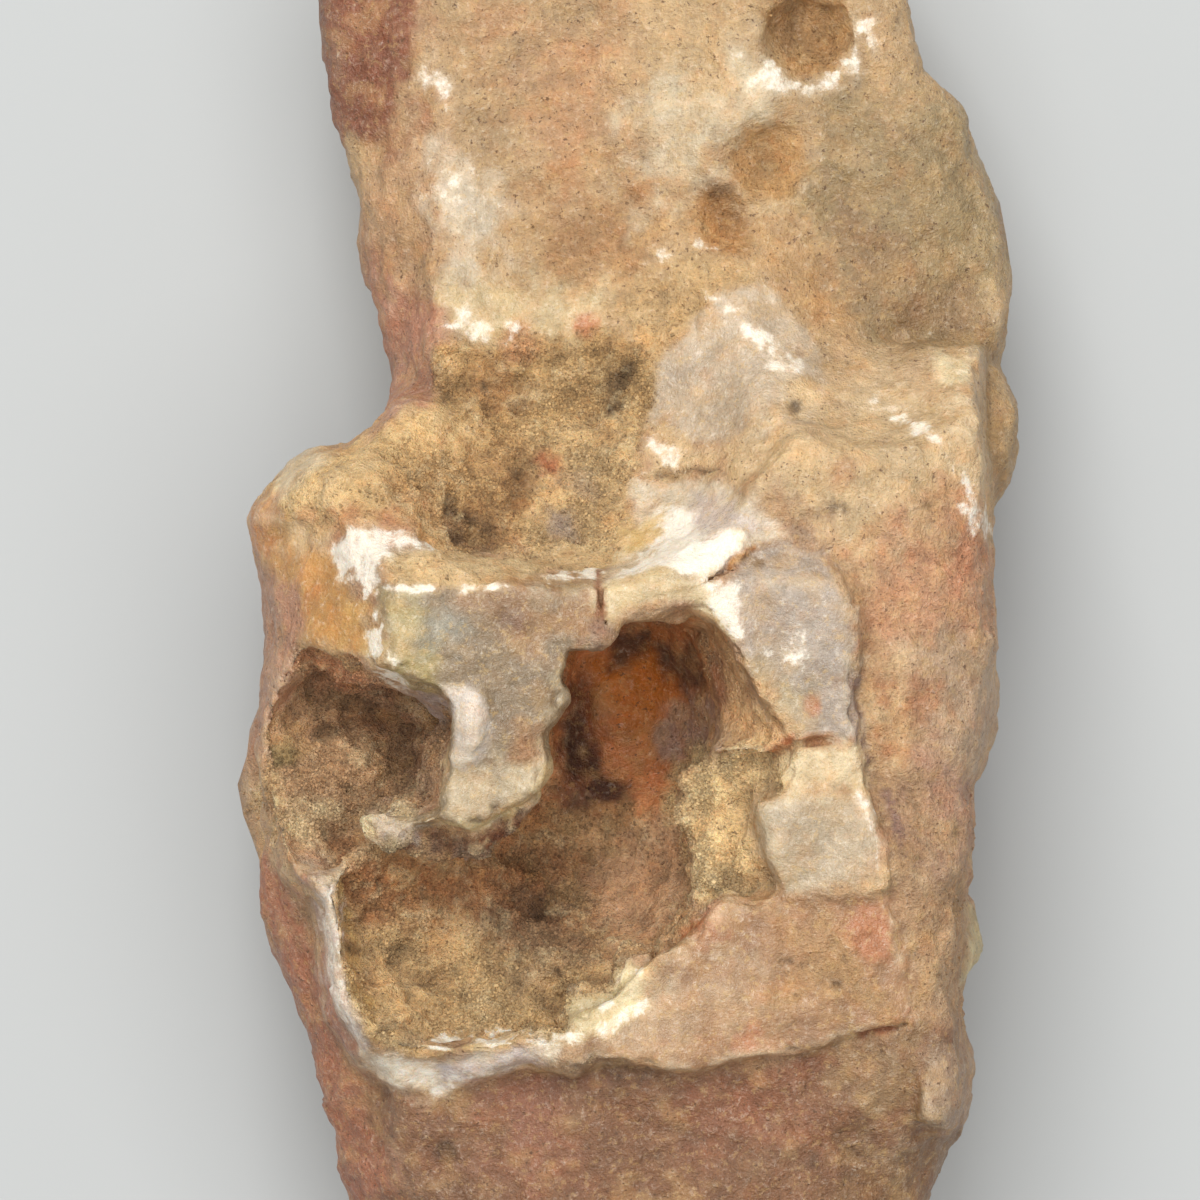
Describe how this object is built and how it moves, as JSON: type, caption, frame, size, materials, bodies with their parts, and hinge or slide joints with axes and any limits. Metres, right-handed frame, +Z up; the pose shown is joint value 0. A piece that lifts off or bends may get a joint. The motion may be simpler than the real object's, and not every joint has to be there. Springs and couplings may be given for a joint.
{
  "type": "rough botswana agate nodule",
  "caption": "Rough nodule of botswana agate lying on its back, its front broken open into a crusted hollow with a thin shelf, chalky edges and flat breaks.",
  "frame": {"origin": "bottom centre of the stone's bounding box, in the plane of the flat break it rests on", "axes": "+X across the stone, +Y along it towards its narrower end, +Z up through its broken front"},
  "size_m": [0.0343, 0.072, 0.0266],
  "materials": {
    "agate": "matte"
  },
  "bodies": {
    "root": {"agate": "agate"}
  },
  "joints": []
}
